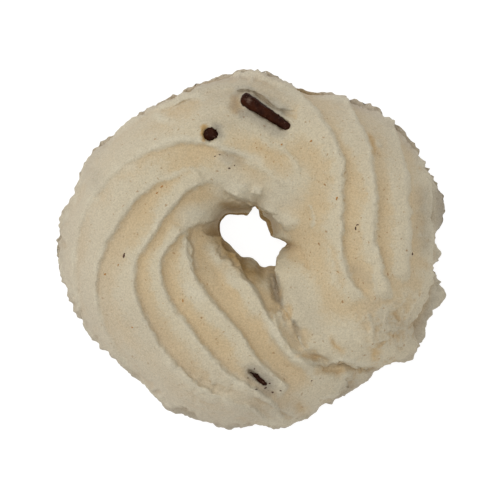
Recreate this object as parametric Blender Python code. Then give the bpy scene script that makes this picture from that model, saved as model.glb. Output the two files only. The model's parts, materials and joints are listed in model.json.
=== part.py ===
"""A piped butter cookie: one rope of dough from a star nozzle, laid clockwise into a ring on a flat tray.

The rope starts at the lower right, runs round the ring and ends on top of its own start. The nozzle's
teeth leave ridges that climb from the outer foot, over the crown and into the hole. Three chocolate
strands are baked into the dough. Metres, +Z up, origin on the tray under the middle of the outline.
"""

import math

import bmesh
import bpy
import numpy as np
from mathutils import Matrix, Vector, noise

MM = 0.001

# Driving dimensions, in millimetres. Turns are degrees about the ring's centre, counter-clockwise from +X.
RING_CENTRE = (0.45, 1.7)
ROPE_START, ROPE_END = 316.0, -66.5
WAIST_SHARE = 0.20  # height of the widest level, as a share of the rope's height
TRAY_SINK = 1.3  # how far the soft foot would reach below the tray that flattens it
SECTION_POWER = 0.76  # under 1 squares the section's shoulders

STEPS, SIDES = 360, 150
SPIN_RADIUS = 9.0  # of the plain ring, before it takes the rope's run
SPIN_SHARE = 0.5  # keeps the plain ring short of a full turn, so that a point's place tells its turn
VOXEL = 0.30
SOLID_TRIANGLES = 15500

# Edge of the rope seen from above: (turn, radius). It passes one turn, because the end lies on the start.
OUTER_EDGE = [
    (316, 23.9), (303, 24.1), (289, 24.7), (262, 25.5), (240, 24.9), (230, 24.2), (218, 24.9), (190, 26.6),
    (165, 25.2), (135, 22.8), (120, 22.2), (105, 22.0), (90, 22.9), (69, 21.3), (60, 22.3), (48, 24.1),
    (30, 25.3), (10, 26.1), (0, 24.3), (-7, 24.4), (-15, 25.8), (-26, 25.9), (-39, 26.2), (-49, 23.6),
    (-60, 18.5), (-66.5, 16.8),
]
INNER_EDGE = [
    (316, 5.5), (298, 4.4), (285, 3.9), (270, 3.0), (225, 3.0), (186, 3.5), (172, 4.2), (150, 4.5),
    (122, 3.1), (102, 2.8), (84, 3.5), (70, 2.8), (25, 1.8), (8, 2.1), (0, 2.5), (-9, 5.2), (-18, 4.3),
    (-35, 3.9), (-52, 4.8), (-66.5, 9.2),
]
# Height of the crown, and of what the rope lies on: the tray, then its own start.
CROWN = [
    (316, 6.5), (306, 8.2), (296, 10.0), (282, 11.2), (180, 11.4), (90, 11.0), (20, 11.5), (-30, 11.7),
    (-50, 12.0), (-60, 11.7), (-66.5, 10.6),
]
SEAT = [(316, 0.0), (-38, 0.0), (-46, 2.4), (-54, 5.9), (-66.5, 8.1)]

# Ridge crests seen from above: height above the dough between them, whether the ridge's far end runs on
# down the outer wall to the tray, then (turn, radius) where the crest runs. A negative height is a groove.
RIDGES = {
    "outer_left": (0.60, True, [(38, 8.2), (76, 9.1), (101, 11.3), (126, 15.7), (167, 21.9), (198, 24.5)]),
    "upper_left": (1.15, True, [(128, 11.9), (149, 14.5), (179, 18.8), (192, 21.1), (224, 23.9)]),
    "left": (1.60, True, [(112, 7.6), (132, 9.7), (156, 11.2), (200, 16.8), (239, 19.8), (268, 22.6)]),
    "lower_left": (1.70, True, [(147, 4.9), (181, 10.3), (196, 12.7), (214, 13.7), (235, 14.6), (258, 17.9),
                                (272, 20.6)]),
    "hole_left": (1.80, True, [(172, 8.5), (206, 9.2), (239, 10.3), (254, 11.6), (269, 15.2), (284, 20.6)]),
    "hole_rim": (1.50, False, [(183, 6.0), (204, 4.8), (233, 4.0), (252, 4.6), (275, 7.2), (281, 10.3),
                               (282, 13.4), (286, 16.2), (304, 19.8)]),
    "right_inner": (1.35, True, [(-33, 18.2), (-16, 12.9), (-5, 11.8), (7, 11.5), (26, 13.2), (70, 19.6)]),
    "right": (1.55, True, [(-28, 20.7), (-18, 18.6), (-4, 16.5), (15, 16.4), (27, 18.3), (55, 21.8)]),
    "right_outer": (1.60, True, [(-20, 21.9), (-8, 20.9), (4, 20.5), (22, 22.0), (37, 23.3)]),
    "right_rim": (1.00, True, [(-37, 23.2), (-11, 24.7), (4, 24.0), (16, 24.7)]),
    "top_rim": (0.70, True, [(86, 19.3), (106, 20.1), (124, 20.9)]),
    "top_fold": (0.90, True, [(70, 19.4), (85, 20.8), (94, 21.5)]),
    "hole_top": (0.90, False, [(-42, 10.4), (-14, 6.6), (19, 4.5), (45, 4.1), (92, 4.8), (115, 6.5)]),
    "wall_upper_left": (0.80, True, [(128, 21.5), (142, 23.0)]),
    "wall_left": (0.90, True, [(160, 24.0), (176, 25.4)]),
    "wall_right": (0.80, True, [(-26, 25.2), (-14, 25.6)]),
    "strand_trough": (-0.7, False, [(68, 17.0), (84, 17.4), (94, 19.2)]),
}
WALL_RUN = 26.0  # turn over which a ridge runs down the wall
WALL_LEAN = 0.35  # share of that turn it has made when it is halfway down
WALL_FOOT = -35.0  # how far round the section it ends
WALL_SHARE = 0.3  # share of its height that a ridge keeps on the wall
WALL_BLEND = 55.0  # how far round the section it starts to lose the rest
RIDGE_SAMPLES = 60
RIDGE_REACH = 2.7  # from a crest to where its flank has run out
RIDGE_EDGE = 0.22  # radius left on a crest
RIDGE_FADE = 0.14  # share of a ridge's run over which each end dies out
LAP_GUARD = 50.0  # a ridge touches only dough within this many degrees along the rope

DOUGH_SEED = 4
LUMP_SIZE, LUMP_DEPTH = 6.0, 0.28
TEAR_SIZE, TEAR_DEPTH = 1.5, 0.16
TATTER_SIZE, TATTER_DEPTH = 2.6, 0.75  # of the rope's end, which pulled off the nozzle
LAP_FROM, LAP_BLEND = -22.0, 24.0

# Chocolate strands: (x, y) of the middle, length, diameter, heading, tilt, depth of the middle in the dough.
STRANDS = {
    "strand_long": ((2.2, 18.2), 8.2, 2.0, -31.5, 4.0, 0.5),
    "strand_upright": ((-5.1, 15.6), 3.6, 1.7, 20.0, 78.0, 1.3),
    "strand_buried": ((1.7, -17.5), 4.4, 1.6, -46.0, 4.0, -0.2),
}
STRAND_SIDES = 6
STRAND_TAPER, STRAND_TIP = 0.45, 0.5  # how far each end narrows and bulges, as shares of the strand's radius

TRAY_SIZE = 80.0
DOUGH_COLOUR = (0.60, 0.51, 0.36, 1.0)
DOUGH_ROUGHNESS = 0.75


def curve_through(points, at):
    """Values at the given turns on a smooth curve through (turn, value) points."""
    knots = np.array(sorted(points), float)
    x, y = knots[:, 0], knots[:, 1]
    slope = np.gradient(y, x)
    i = np.clip(np.searchsorted(x, at) - 1, 0, len(x) - 2)
    span = x[i + 1] - x[i]
    t = np.clip((at - x[i]) / span, 0.0, 1.0)
    return (
        (2 * t**3 - 3 * t**2 + 1) * y[i]
        + (t**3 - 2 * t**2 + t) * span * slope[i]
        + (3 * t**2 - 2 * t**3) * y[i + 1]
        + (t**3 - t**2) * span * slope[i + 1]
    )


def signed_power(value, power):
    return np.sign(value) * np.abs(value) ** power


def rope_size(turn):
    """Middle radius, half width, crown height, underside and widest level of the rope at these turns."""
    outer, inner = curve_through(OUTER_EDGE, turn), curve_through(INNER_EDGE, turn)
    crown, seat = curve_through(CROWN, turn), curve_through(SEAT, turn)
    waist = seat + WAIST_SHARE * (crown - seat)
    return (outer + inner) / 2, (outer - inner) / 2, crown, seat - TRAY_SINK, waist


def rope_point(turn, around):
    """Points of the smooth rope, with around 0 at the outer edge, 90 on the crown and 180 at the hole."""
    middle, half, crown, under, waist = rope_size(turn)
    angle = np.radians(around)
    radius = middle + half * signed_power(np.cos(angle), SECTION_POWER)
    rise = signed_power(np.sin(angle), SECTION_POWER)
    height = waist + np.where(rise > 0, crown - waist, waist - under) * rise
    x = RING_CENTRE[0] + radius * np.cos(np.radians(turn))
    y = RING_CENTRE[1] + radius * np.sin(np.radians(turn))
    return np.stack([x, y, height], axis=-1)


def section_angle(turn, radius):
    """How far round the section the rope's upper side has this radius."""
    middle, half, _, _, _ = rope_size(turn)
    side = np.clip((radius - middle) / half, -0.999, 0.999)
    return np.degrees(np.arccos(signed_power(side, 1 / SECTION_POWER)))


def crest_line(points, down_wall):
    """Turns and points of the smooth rope along a ridge, and the share of its height that is left there."""
    turns, radii = np.array(points, float).T
    around = section_angle(turns, radii)
    if down_wall:
        halfway = (around[-1] + WALL_FOOT) / 2
        turns = np.append(turns, turns[-1] + WALL_RUN * np.array([WALL_LEAN, 1.0]))
        around = np.append(around, [halfway, WALL_FOOT])
    run = np.concatenate([[0], np.cumsum(np.hypot(np.diff(turns), np.diff(around)))])
    along = np.linspace(0, run[-1], RIDGE_SAMPLES)
    turn, around = curve_through(list(zip(run, turns)), along), curve_through(list(zip(run, around)), along)
    full = np.clip(around / WALL_BLEND, 0, 1)
    return turn, rope_point(turn, around), WALL_SHARE + (1 - WALL_SHARE) * full


def ridge_height(places, turns):
    """How far the ridges lift the dough at these places of the smooth rope."""
    lift = np.zeros(len(places))
    for height, down_wall, points in RIDGES.values():
        turn, line, full = crest_line(points, down_wall)
        near, far = line[:-1], line[1:]
        run = far - near
        share = ((places[:, None, :] - near) * run).sum(axis=2) / (run * run).sum(axis=1)
        share = np.clip(share, 0, 1)
        apart = np.linalg.norm(places[:, None, :] - near - share[:, :, None] * run, axis=2)
        apart[np.abs(turns[:, None] - turn[None, :-1]) > LAP_GUARD] = np.inf
        nearest = apart.argmin(axis=1)
        row = np.arange(len(places))
        distance = np.sqrt(np.minimum(apart[row, nearest], 99.0) ** 2 + RIDGE_EDGE**2) - RIDGE_EDGE
        along = (nearest + share[row, nearest]) / len(run)
        fade = np.clip(np.minimum(along, 1 - along) / RIDGE_FADE, 0, 1)
        strength = height * full[nearest] * fade * fade * (3 - 2 * fade)
        lift += strength * np.clip(1 - distance / RIDGE_REACH, 0, 1) ** 2
    return lift


def wander(places, size, depth):
    """A shift in each direction that varies over the given size."""
    noise.seed_set(DOUGH_SEED)
    return np.array([noise.noise_vector(Vector(p) / size) for p in places]) * depth


def rope_surface(turn, around):
    """Points of the ridged rope."""
    smooth = rope_point(turn, around)
    along = rope_point(turn - 0.5, around) - rope_point(turn + 0.5, around)
    across = rope_point(turn, around + 0.5) - rope_point(turn, around - 0.5)
    normal = np.cross(across, along)
    normal /= np.linalg.norm(normal, axis=1, keepdims=True) + 1e-12
    lift = ridge_height(smooth + wander(smooth, TEAR_SIZE, TEAR_DEPTH), turn)
    lapped = np.clip((LAP_FROM - turn) / LAP_BLEND, 0, 1)
    tattered = wander(smooth, TATTER_SIZE, TATTER_DEPTH) * lapped[:, None]
    return smooth + normal * lift[:, None] + wander(smooth, LUMP_SIZE, LUMP_DEPTH) + tattered


def new_object(name, mesh_data, collection):
    mesh = bpy.data.meshes.new(name)
    mesh_data.to_mesh(mesh)
    mesh_data.free()
    made = bpy.data.objects.new(name, mesh)
    collection.objects.link(made)
    return made


def spun_rope():
    """The rope as one closed skin: a circle spun into a ring, then drawn out to the rope's real run."""
    skin = bmesh.new()
    hub = Matrix.Translation((SPIN_RADIUS, 0, 0))
    bmesh.ops.create_circle(skin, cap_ends=False, segments=SIDES, radius=1.0, matrix=hub)
    turns = ROPE_START - ROPE_END
    bmesh.ops.spin(
        skin,
        geom=skin.verts[:] + skin.edges[:],
        cent=(0, 0, 0),
        axis=(0, 1, 0),
        angle=math.radians(turns * SPIN_SHARE),
        steps=STEPS,
    )
    bmesh.ops.holes_fill(skin, edges=[e for e in skin.edges if e.is_boundary], sides=0)
    bmesh.ops.recalc_face_normals(skin, faces=skin.faces)
    x, y, z = np.array([v.co for v in skin.verts]).T
    spun = np.degrees(np.arctan2(-z, x)) % 360
    around = np.degrees(np.arctan2(y, np.hypot(x, z) - SPIN_RADIUS))
    for vertex, place in zip(skin.verts, rope_surface(ROPE_START - spun / SPIN_SHARE, around)):
        vertex.co = Vector(place) * MM
    return skin


def apply_modifiers(made):
    bpy.context.view_layer.objects.active = made
    for modifier in list(made.modifiers):
        bpy.ops.object.modifier_apply(modifier=modifier.name)


def strand(name, place, collection):
    """A short rod of chocolate with rounded ends."""
    (x, y), length, diameter, heading, tilt, depth = place
    turn = math.degrees(math.atan2(y - RING_CENTRE[1], x - RING_CENTRE[0])) % 360
    radius = math.hypot(x - RING_CENTRE[0], y - RING_CENTRE[1])
    turn, radius = np.array([turn]), np.array([radius])
    height = rope_point(turn, section_angle(turn, radius))[0, 2] - depth
    rod = bmesh.new()
    half = diameter / 2
    straight = length - 2 * STRAND_TIP * half
    bmesh.ops.create_cone(
        rod, cap_ends=True, segments=STRAND_SIDES, radius1=half, radius2=half, depth=straight
    )
    for cap in [f for f in rod.faces if len(f.verts) == STRAND_SIDES]:
        bmesh.ops.inset_region(rod, faces=[cap], thickness=half * STRAND_TAPER, depth=half * STRAND_TIP)
    lay = (
        Matrix.Translation(Vector((x, y, height)) * MM)
        @ Matrix.Rotation(math.radians(heading), 4, "Z")
        @ Matrix.Rotation(math.radians(90 - tilt), 4, "Y")
        @ Matrix.Scale(MM, 4)
    )
    bmesh.ops.transform(rod, matrix=lay, verts=rod.verts)
    return new_object(name, rod, collection)


def tray_cutter():
    """Everything below the tray's surface, which leaves the cookie its flat base."""
    box = bmesh.new()
    middle = Matrix.Translation((0, 0, -TRAY_SIZE / 2 * MM))
    bmesh.ops.create_cube(box, size=TRAY_SIZE * MM, matrix=middle)
    return new_object("tray_cutter", box, bpy.context.scene.collection)


def biscuit_material():
    dough = bpy.data.materials.new("pale_butter_dough")
    dough.use_nodes = True
    shader = dough.node_tree.nodes["Principled BSDF"]
    shader.inputs["Base Color"].default_value = DOUGH_COLOUR
    shader.inputs["Roughness"].default_value = DOUGH_ROUGHNESS
    shader.inputs["Metallic"].default_value = 0.0
    return dough


def build():
    for made in list(bpy.data.objects):
        bpy.data.objects.remove(made)
    cookie = new_object("cookie", spun_rope(), bpy.context.scene.collection)

    fuse = cookie.modifiers.new("fuse_laps", "REMESH")
    fuse.mode = "VOXEL"
    fuse.voxel_size = VOXEL * MM
    apply_modifiers(cookie)

    thin = cookie.modifiers.new("fewer_faces", "DECIMATE")
    triangles = sum(len(face.vertices) - 2 for face in cookie.data.polygons)
    thin.ratio = SOLID_TRIANGLES / triangles
    apply_modifiers(cookie)

    cutter = tray_cutter()
    flatten = cookie.modifiers.new("flatten_base", "BOOLEAN")
    flatten.operation = "DIFFERENCE"
    flatten.object = cutter
    apply_modifiers(cookie)
    bpy.data.objects.remove(cutter)

    strands = bpy.data.collections.new("strands")
    bpy.context.scene.collection.children.link(strands)
    for name, place in STRANDS.items():
        strand(name, place, strands)
    join = cookie.modifiers.new("bake_in_strands", "BOOLEAN")
    join.operation = "UNION"
    join.operand_type = "COLLECTION"
    join.collection = strands
    apply_modifiers(cookie)
    for made in list(strands.objects):
        bpy.data.objects.remove(made)
    bpy.data.collections.remove(strands)

    cookie.data.materials.clear()
    cookie.data.materials.append(biscuit_material())


build()
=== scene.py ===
import json
import math

import bpy
import numpy as np
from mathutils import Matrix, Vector, noise

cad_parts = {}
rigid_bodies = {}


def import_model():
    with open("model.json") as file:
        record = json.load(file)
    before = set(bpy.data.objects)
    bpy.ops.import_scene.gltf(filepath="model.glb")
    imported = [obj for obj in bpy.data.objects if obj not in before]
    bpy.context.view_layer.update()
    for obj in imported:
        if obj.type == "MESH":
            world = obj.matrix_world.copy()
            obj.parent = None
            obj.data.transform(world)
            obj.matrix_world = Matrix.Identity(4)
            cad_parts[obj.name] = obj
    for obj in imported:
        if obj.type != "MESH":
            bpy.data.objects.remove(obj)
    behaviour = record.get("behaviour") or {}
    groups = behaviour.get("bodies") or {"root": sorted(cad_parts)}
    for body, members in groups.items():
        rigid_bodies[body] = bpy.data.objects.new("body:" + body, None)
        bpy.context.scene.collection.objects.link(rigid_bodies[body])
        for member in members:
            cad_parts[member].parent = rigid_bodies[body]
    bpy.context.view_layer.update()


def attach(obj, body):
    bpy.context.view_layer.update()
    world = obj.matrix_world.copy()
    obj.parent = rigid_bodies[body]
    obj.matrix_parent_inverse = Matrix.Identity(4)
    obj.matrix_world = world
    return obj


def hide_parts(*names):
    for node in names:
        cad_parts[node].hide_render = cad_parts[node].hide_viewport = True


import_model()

mm = 0.001
start = "piped butter cookie:"


# small tools

def toLinear(hexColour):
    parts = [int(hexColour[i:i + 2], 16) / 255 for i in (1, 3, 5)]
    parts = [c / 12.92 if c <= 0.04045 else ((c + 0.055) / 1.055) ** 2.4 for c in parts]
    return (*parts, 1.0)


def setInputs(owner, node, inputs):  # a plain value, or the output that feeds it
    for name, value in inputs.items():
        if isinstance(value, bpy.types.NodeSocket):
            owner.node_tree.links.new(value, node.inputs[name])
        else:
            node.inputs[name].default_value = value


def addNode(material, kind, inputs, **settings):
    node = material.node_tree.nodes.new("ShaderNode" + kind)
    for name, value in settings.items():
        setattr(node, name, value)
    setInputs(material, node, inputs)
    return node


def newMaterial(name, roughness, specular):  # with its shader and the place on the piece in mm
    material = bpy.data.materials.new(name)
    material.use_nodes = True
    shader = material.node_tree.nodes["Principled BSDF"]
    setInputs(material, shader, {"Roughness": roughness, "Specular IOR Level": specular})
    where = addNode(material, "TexCoord", {})
    scaled = addNode(material, "Mapping", {"Vector": where.outputs["Object"], "Scale": (1000, 1000, 1000)})
    return material, shader, scaled.outputs["Vector"]


def switchTo(mode):
    bpy.ops.object.mode_set(mode=mode)


def selectInMesh(action):
    bpy.ops.mesh.select_all(action=action)


def deselectAll():
    if bpy.context.mode != "OBJECT":
        switchTo("OBJECT")
    bpy.ops.object.select_all(action="DESELECT")


def applyModifier(piece, kind, **settings):
    modifier = piece.modifiers.new(kind.lower(), kind)
    for name, value in settings.items():
        setattr(modifier, name, value)
    bpy.context.view_layer.objects.active = piece
    bpy.ops.object.modifier_apply(modifier=modifier.name)


def closeEnds():  # of the tube in edit mode, and turns its faces outward
    selectInMesh("DESELECT")
    bpy.ops.mesh.select_non_manifold(extend=False)
    bpy.ops.mesh.fill_holes(sides=0)
    selectInMesh("SELECT")
    bpy.ops.mesh.normals_make_consistent(inside=False)


def readVectors(items, name, width=3):
    values = np.zeros(len(items) * width, np.float32)
    items.foreach_get(name, values)
    return values.reshape(-1, width).astype(float)


def readPlaces(piece):  # in mm
    return readVectors(piece.data.vertices, "co") / mm


def writePlaces(piece, places):
    piece.data.vertices.foreach_set("co", (places * mm).astype(np.float32).ravel())
    piece.data.update()


def setAttribute(piece, name, values):
    attribute = piece.data.attributes.new(name, "FLOAT", "POINT")
    attribute.data.foreach_set("value", values.astype(np.float32))


def unit(values):  # held within 0 to 1
    return np.clip(values, 0, 1)


def mixed(number):  # scrambles whole numbers, for repeatable randomness
    number = (number ^ (number >> 15)) * 0x2C1B3C6D & 0xFFFFFFFF
    number = (number ^ (number >> 12)) * 0x297A2D39 & 0xFFFFFFFF
    return number ^ (number >> 15)


def grain(places, size, seed):  # smooth random values, mostly within -1 to 1, that vary over size mm
    cell = places / size + 37.3 * seed + 512
    base = np.floor(cell).astype(np.int64)
    part = cell - base
    ease = part ** 3 * (part * (part * 6 - 15) + 10)
    total = np.zeros(len(places))
    for corner in range(8):
        step = np.array([corner & 1, corner >> 1 & 1, corner >> 2 & 1])
        lattice = base + step
        key = mixed(lattice[:, 0] + 1619 * lattice[:, 1] + 31337 * lattice[:, 2] + 6971 * seed & 0xFFFFFFFF)
        slope = np.stack([(key >> shift & 1023) / 511.5 - 1 for shift in (0, 10, 20)], axis=1)
        weight = np.where(step == 1, ease, 1 - ease).prod(axis=1)
        total += weight * ((part - step) * slope).sum(axis=1)
    return total * 1.6


def grains(places, size, seed):  # the same in each direction
    return np.stack([grain(places, size, seed + 101 * i) for i in range(3)], axis=1)


def wander(places, size, depth):  # the solid's own slow wandering
    noise.seed_set(rope["seed"])
    return np.array([noise.noise_vector(Vector(p) / size) for p in places]) * depth


def within(spots, low, high):
    return ((spots > low) & (spots < high)).all(axis=1)


def eased(share):  # starts and ends level
    return share * share * (3 - 2 * share)


def curveThrough(points, at):
    knots = np.array(sorted(points), float)
    x, y = knots[:, 0], knots[:, 1]
    slope = np.gradient(y, x)
    i = np.clip(np.searchsorted(x, at) - 1, 0, len(x) - 2)
    span = x[i + 1] - x[i]
    t = unit((at - x[i]) / span)
    return (
        (2 * t**3 - 3 * t**2 + 1) * y[i]
        + (t**3 - 2 * t**2 + t) * span * slope[i]
        + (3 * t**2 - 2 * t**3) * y[i + 1]
        + (t**3 - t**2) * span * slope[i + 1]
    )


# the rope of dough, in mm and degrees: turn runs round the ring, around runs round its section

rope = {
    "centre": (0.45, 1.7),
    "start": 318.0, "end": -66.5,
    "waistShare": 0.20, "traySink": 1.3, "sectionPower": 0.76,
    "steps": 300, "sides": 110, "cuts": 2, "spinRadius": 9.0, "spinShare": 0.5,
    "evenOver": (-14.0, -7.0, 0.0, 7.0, 14.0), "wallFrom": 0.72,
    "outerEdge": [
        (316, 24.3), (309, 24.6), (303, 24.4), (297, 24.35), (289, 24.65), (278, 25.3), (274.5, 24.9), (262, 25.6),
        (250, 25.5), (244, 25.6), (240, 25.1), (230, 24.2), (218, 25.0), (200, 25.9), (190, 26.45), (175, 25.8),
        (166, 24.7), (160, 25.0), (150, 24.35), (144, 23.4), (135, 22.7), (120, 22.2), (105, 22.0), (90, 22.7),
        (69, 21.0), (60, 22.2), (48, 23.6), (36, 25.0), (30, 24.95), (20, 25.8), (10, 26.35), (5, 25.8), (0, 24.6),
        (-2, 24.6), (-5, 25.6), (-8.5, 24.5), (-15, 26.25), (-26, 26.1), (-38, 26.2), (-45, 24.2), (-49, 22.9),
        (-54, 20.7), (-60, 18.9), (-66.5, 17.4),
    ],
    "innerEdge": [
        (316, 5.5), (300, 4.5), (284, 4.0), (279, 3.4), (266, 2.8), (240, 2.9), (218, 2.85), (196, 3.15), (180, 4.0),
        (170, 4.4), (150, 4.75), (136, 4.4), (122, 3.6), (110, 3.2), (96, 3.05), (86, 4.1), (79, 4.0), (68, 3.0),
        (44, 2.75), (27, 2.35), (10, 2.4), (1, 2.45), (-5, 3.6), (-11, 4.6), (-19, 4.1), (-33, 3.95), (-48, 4.5),
        (-66.5, 9.2),
    ],
    "crown": [
        (316, 6.5), (306, 8.2), (296, 10.0), (282, 11.2), (180, 11.4), (90, 11.0), (20, 11.5), (-30, 11.7),
        (-50, 12.0), (-60, 11.7), (-66.5, 10.6),
    ],
    "seat": [(316, 0.0), (-38, 0.0), (-46, 2.4), (-54, 5.9), (-66.5, 8.1)],
    "shoulder": [(316, 0.0), (200, 0.0), (180, 0.3), (165, 1.1), (150, 1.7), (130, 1.9), (100, 2.0), (80, 2.5),
                 (55, 2.5), (40, 1.7), (10, 0.6), (-20, 0.2), (-40, 0.0), (-66.5, 0.0)],
    "shoulderFrom": 1.4,
    "seed": 4, "lump": (6.0, 0.28), "tear": (1.5, 0.2), "tearRight": 1.1, "tearRightAt": 38.0, "crumble": (0.6, 0.09),
    "tatter": (2.6, 0.75), "lapFrom": -22.0, "lapBlend": 24.0, "tornFrom": -57.0, "tornBlend": 7.0,
    "uprightFrom": 0.2, "uprightOver": 0.5, "calmTop": (1.5, 1.6, 0.08), "seam": -50,
    "voxel": 0.17, "triangles": 197000, "mendRounds": 3, "mendWithin": 0.001,
}

# ridges left by the nozzle: height, whether it runs down the wall, its steep side, (turn, radius) of its crest
ridges = {
    "outerLeft": (0.55, True, "inner", [(84, 9.9), (101, 11.3), (126, 15.7), (167, 21.9), (198, 24.5)]),
    "upperLeft": (0.70, True, "inner", [(128, 11.9), (149, 14.5), (179, 18.8), (192, 21.1), (224, 23.9)]),
    "left": (1.00, True, "inner", [(112, 7.6), (132, 9.7), (156, 11.2), (200, 16.8), (239, 19.8), (268, 22.6)]),
    "lowerLeft": (1.15, True, "inner", [(147, 4.9), (181, 10.3), (196, 12.7), (214, 13.7), (235, 14.6), (258, 17.9),
                                        (272, 20.6)]),
    "holeLeft": (1.25, False, "inner", [(172, 8.5), (206, 9.2), (239, 10.3), (254, 11.6), (269, 15.2), (284, 20.6)]),
    "holeRim": (2.00, False, "inner", [(184, 5.1), (207, 4.8), (228, 4.2), (248, 4.6), (256, 5.4), (266, 6.0),
                                       (273, 7.2), (281, 10.3), (284, 13.0), (288, 15.5)]),
    "rightInner": (0.80, True, "outer", [(-31, 17.8), (-24.5, 14.3), (-14.5, 12.4), (-3, 11.75), (9, 11.9),
                                         (23, 12.9), (34, 14.4), (44.5, 16.0), (54, 17.3), (62.5, 18.6), (70, 19.6)]),
    "right": (1.00, True, "outer", [(-25.5, 20.0), (-12.3, 17.4), (-4.4, 16.3), (6.7, 16.2), (17, 17.0), (30.5, 18.3),
                                    (37.3, 19.5), (45.2, 20.2), (52.8, 21.5)]),
    "rightOuter": (1.15, True, "outer", [(-17.2, 21.6), (-1.8, 20.6), (5.3, 20.7), (13.8, 21.0), (25.5, 22.3),
                                         (35.3, 23.2), (42, 23.7)]),
    "rightRim": (1.10, True, "outer", [(-23, 23.8), (-16, 24.7), (-0.9, 24.2), (5.2, 24.2), (11.9, 24.2),
                                        (21.2, 24.7)]),
    "topRim": (0.70, True, "inner", [(86, 19.3), (106, 20.1), (124, 20.9)]),
    "topFold": (0.90, True, "inner", [(70, 19.4), (85, 20.8), (94, 21.5)]),
    "holeTop": (1.05, False, "inner", [(4, 5.2), (19, 4.7), (45, 4.4), (92, 4.9), (112, 6.2), (122, 7.3)]),
    "wallUpperLeft": (0.80, True, "inner", [(128, 21.5), (142, 23.0)]),
    "wallLeft": (0.90, True, "inner", [(160, 24.0), (176, 25.4)]),
    "wallRight": (0.80, True, "inner", [(-26, 25.2), (-14, 25.6)]),
    "strandTrough": (-0.7, False, "inner", [(68, 17.0), (84, 17.4), (94, 19.2)]),
}
ridgeShape = {
    "wallRun": 26.0, "wallLean": 0.35, "wallFoot": -35.0, "wallShare": 0.3, "wallBlend": 55.0,
    "gentleReach": 3.5, "gentlePower": 1.15, "steepReach": 0.6, "steepPower": 1.2,
    "samples": 60, "edge": 0.05, "fade": 0.14, "lapGuard": 50.0,
    "blunt": {"outerLeft": 0.22, "rightInner": 0.05, "right": 0.035, "rightOuter": 0.035, "holeLeft": 0.05,
              "holeRim": 0.03},
    "bluntEnd": {"holeLeft": 0.03, "holeRim": 0.22},
}


def signedPower(value, power):
    return np.sign(value) * np.abs(value) ** power


def ropeEdges(turn):  # outer and inner edge: evened out over some degrees, and what the wall adds to that
    both = []
    for name in ("outerEdge", "innerEdge"):
        edge = curveThrough(rope[name], turn)
        near = [np.clip(turn + shift, rope["end"], rope["start"]) for shift in rope["evenOver"]]
        even = sum(curveThrough(rope[name], t) for t in near) / len(near)
        both += [even, edge - even]
    return both


def ropeSize(turn):
    outer, _, inner, _ = ropeEdges(turn)
    crown, seat = curveThrough(rope["crown"], turn), curveThrough(rope["seat"], turn)
    waist = seat + rope["waistShare"] * (crown - seat)
    return (outer + inner) / 2, (outer - inner) / 2, crown, seat - rope["traySink"], waist


def ropePoint(turn, around):
    middle, half, crown, under, waist = ropeSize(turn)
    _, outerMore, _, innerMore = ropeEdges(turn)
    angle = np.radians(around)
    side = signedPower(np.cos(angle), rope["sectionPower"])
    wall = unit((np.abs(side) - rope["wallFrom"]) / (1 - rope["wallFrom"]))
    radius = middle + half * side + eased(wall) * np.where(side > 0, outerMore, innerMore)
    rise = signedPower(np.sin(angle), rope["sectionPower"])
    height = waist + np.where(rise > 0, crown - waist, waist - under) * rise
    inside = np.maximum(half * (1 + side), 0) / rope["shoulderFrom"]  # the dough stays high up to the hole
    height = height + curveThrough(rope["shoulder"], turn) * inside * np.exp(1 - inside) * (rise > 0)
    x = rope["centre"][0] + radius * np.cos(np.radians(turn))
    y = rope["centre"][1] + radius * np.sin(np.radians(turn))
    return np.stack([x, y, height], axis=-1)


def sectionAngle(turn, radius):
    middle, half, _, _, _ = ropeSize(turn)
    side = np.clip((radius - middle) / half, -0.999, 0.999)
    return np.degrees(np.arccos(signedPower(side, 1 / rope["sectionPower"])))


def crestLine(points, downWall):
    turns, radii = np.array(points, float).T
    around = sectionAngle(turns, radii)
    if downWall:
        halfway = (around[-1] + ridgeShape["wallFoot"]) / 2
        turns = np.append(turns, turns[-1] + ridgeShape["wallRun"] * np.array([ridgeShape["wallLean"], 1.0]))
        around = np.append(around, [halfway, ridgeShape["wallFoot"]])
    run = np.concatenate([[0], np.cumsum(np.hypot(np.diff(turns), np.diff(around)))])
    along = np.linspace(0, run[-1], ridgeShape["samples"])
    turn, around = curveThrough(list(zip(run, turns)), along), curveThrough(list(zip(run, around)), along)
    full = unit(around / ridgeShape["wallBlend"])
    return turn, ropePoint(turn, around), ridgeShape["wallShare"] + (1 - ridgeShape["wallShare"]) * full


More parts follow.
